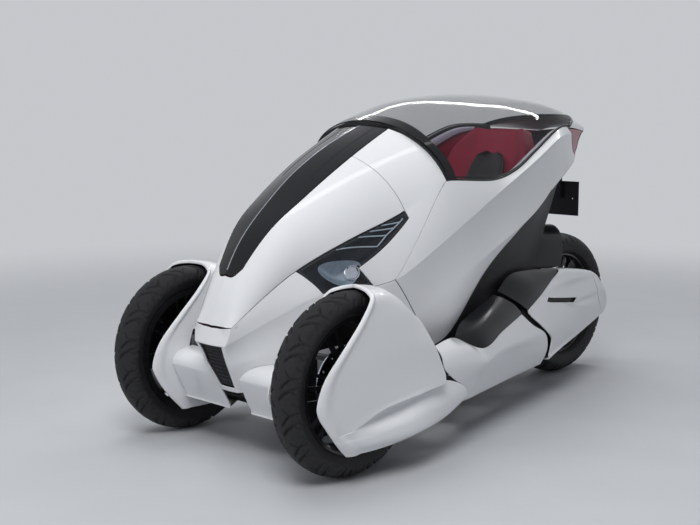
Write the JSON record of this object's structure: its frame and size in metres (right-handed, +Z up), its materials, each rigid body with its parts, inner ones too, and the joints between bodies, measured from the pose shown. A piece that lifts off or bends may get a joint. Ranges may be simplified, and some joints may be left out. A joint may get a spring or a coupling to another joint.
{
  "type": "three wheeled car",
  "caption": "Narrow electric car with a clear lifting canopy over one seat, steered front wheels inside fixed pods and a driven rear wheel on a swing arm.",
  "frame": {"origin": "middle of the footprint, on the road", "axes": "+Z up, -Y forward, +X to the car's left"},
  "size_m": [1.134, 2.342, 1.2257],
  "materials": {
    "white_paint": "pearl gloss",
    "black_mesh": "matte",
    "black_gloss": "gloss",
    "black_plastic": "matte",
    "frame_metal": "satin",
    "battery_case": "satin",
    "red_trim": "satin",
    "grey_trim": "matte",
    "dark_leather": "satin",
    "lamp_chrome": "polished",
    "clear_cover": "clear",
    "red_lens": "gloss",
    "cast_alloy": "cast",
    "black_alloy": "satin",
    "tyre": "matte",
    "tinted_glass": "clear"
  },
  "bodies": {
    "body": {"nose_cover": "white_paint", "grille": "black_mesh", "hood": "white_paint", "spine_panel": "black_gloss", "cowl_left": "white_paint", "cowl_right": "white_paint", "side_left": "white_paint", "side_right": "white_paint", "belly_pan": "black_plastic", "chassis": "frame_metal", "axle_beam": "frame_metal", "battery_block": "battery_case", "cabin_tub": "red_trim", "dash_panel": "grey_trim", "steering_column": "black_plastic", "seat_shell": "red_trim", "seat_pad": "dark_leather", "headlamps": "lamp_chrome", "lamp_lenses": "clear_cover", "tail_lip": "white_paint", "tail_lamps": "red_lens", "tail_under": "black_plastic", "plate_carrier": "black_plastic", "pod_left": "white_paint", "pod_right": "white_paint", "bridges": "white_paint", "sponson_left": "white_paint", "sponson_right": "white_paint", "sponson_inserts": "black_gloss", "swing_arm": "frame_metal", "rear_cover_left": "white_paint", "rear_cover_right": "white_paint", "rear_hugger": "black_gloss"},
    "knuckle_left": {"knuckle_left": "cast_alloy"},
    "knuckle_right": {"knuckle_right": "cast_alloy"},
    "wheel_left": {"rim_left": "black_alloy", "tyre_left": "tyre"},
    "wheel_right": {"rim_right": "black_alloy", "tyre_right": "tyre"},
    "rear_wheel": {"rear_rim": "black_alloy", "rear_tyre": "tyre", "hub_motor": "cast_alloy"},
    "steering": {"steering_wheel": "dark_leather"},
    "canopy": {"canopy_glass": "tinted_glass", "canopy_frame": "black_gloss"}
  },
  "joints": [
    {"name": "steer_left", "type": "hinge", "parent": "body", "child": "knuckle_left", "pos_m": [0.366, -0.871, 0.3], "axis": [0, 0, 1], "range_deg": [-10, 10]},
    {"name": "steer_right", "type": "hinge", "parent": "body", "child": "knuckle_right", "pos_m": [-0.366, -0.871, 0.3], "axis": [0, 0, 1], "range_deg": [-10, 10]},
    {"name": "left_wheel_spin", "type": "hinge", "parent": "knuckle_left", "child": "wheel_left", "pos_m": [0.416, -0.871, 0.3], "axis": [1, 0, 0], "continuous": true},
    {"name": "right_wheel_spin", "type": "hinge", "parent": "knuckle_right", "child": "wheel_right", "pos_m": [-0.416, -0.871, 0.3], "axis": [1, 0, 0], "continuous": true},
    {"name": "rear_wheel_spin", "type": "hinge", "parent": "body", "child": "rear_wheel", "pos_m": [0, 0.861, 0.31], "axis": [1, 0, 0], "continuous": true},
    {"name": "steering_turn", "type": "hinge", "parent": "body", "child": "steering", "pos_m": [0, -0.165, 0.89], "axis": [0, 0.8988, 0.4384], "range_deg": [-80, 80]},
    {"name": "canopy_lift", "type": "hinge", "parent": "body", "child": "canopy", "pos_m": [0, -0.395, 1.06], "axis": [1, 0, 0], "range_deg": [0, 50]}
  ],
  "couplings": [
    {"joint": "steer_right", "follows": "steer_left", "ratio": 1},
    {"joint": "steering_turn", "follows": "steer_left", "ratio": 7.5}
  ]
}
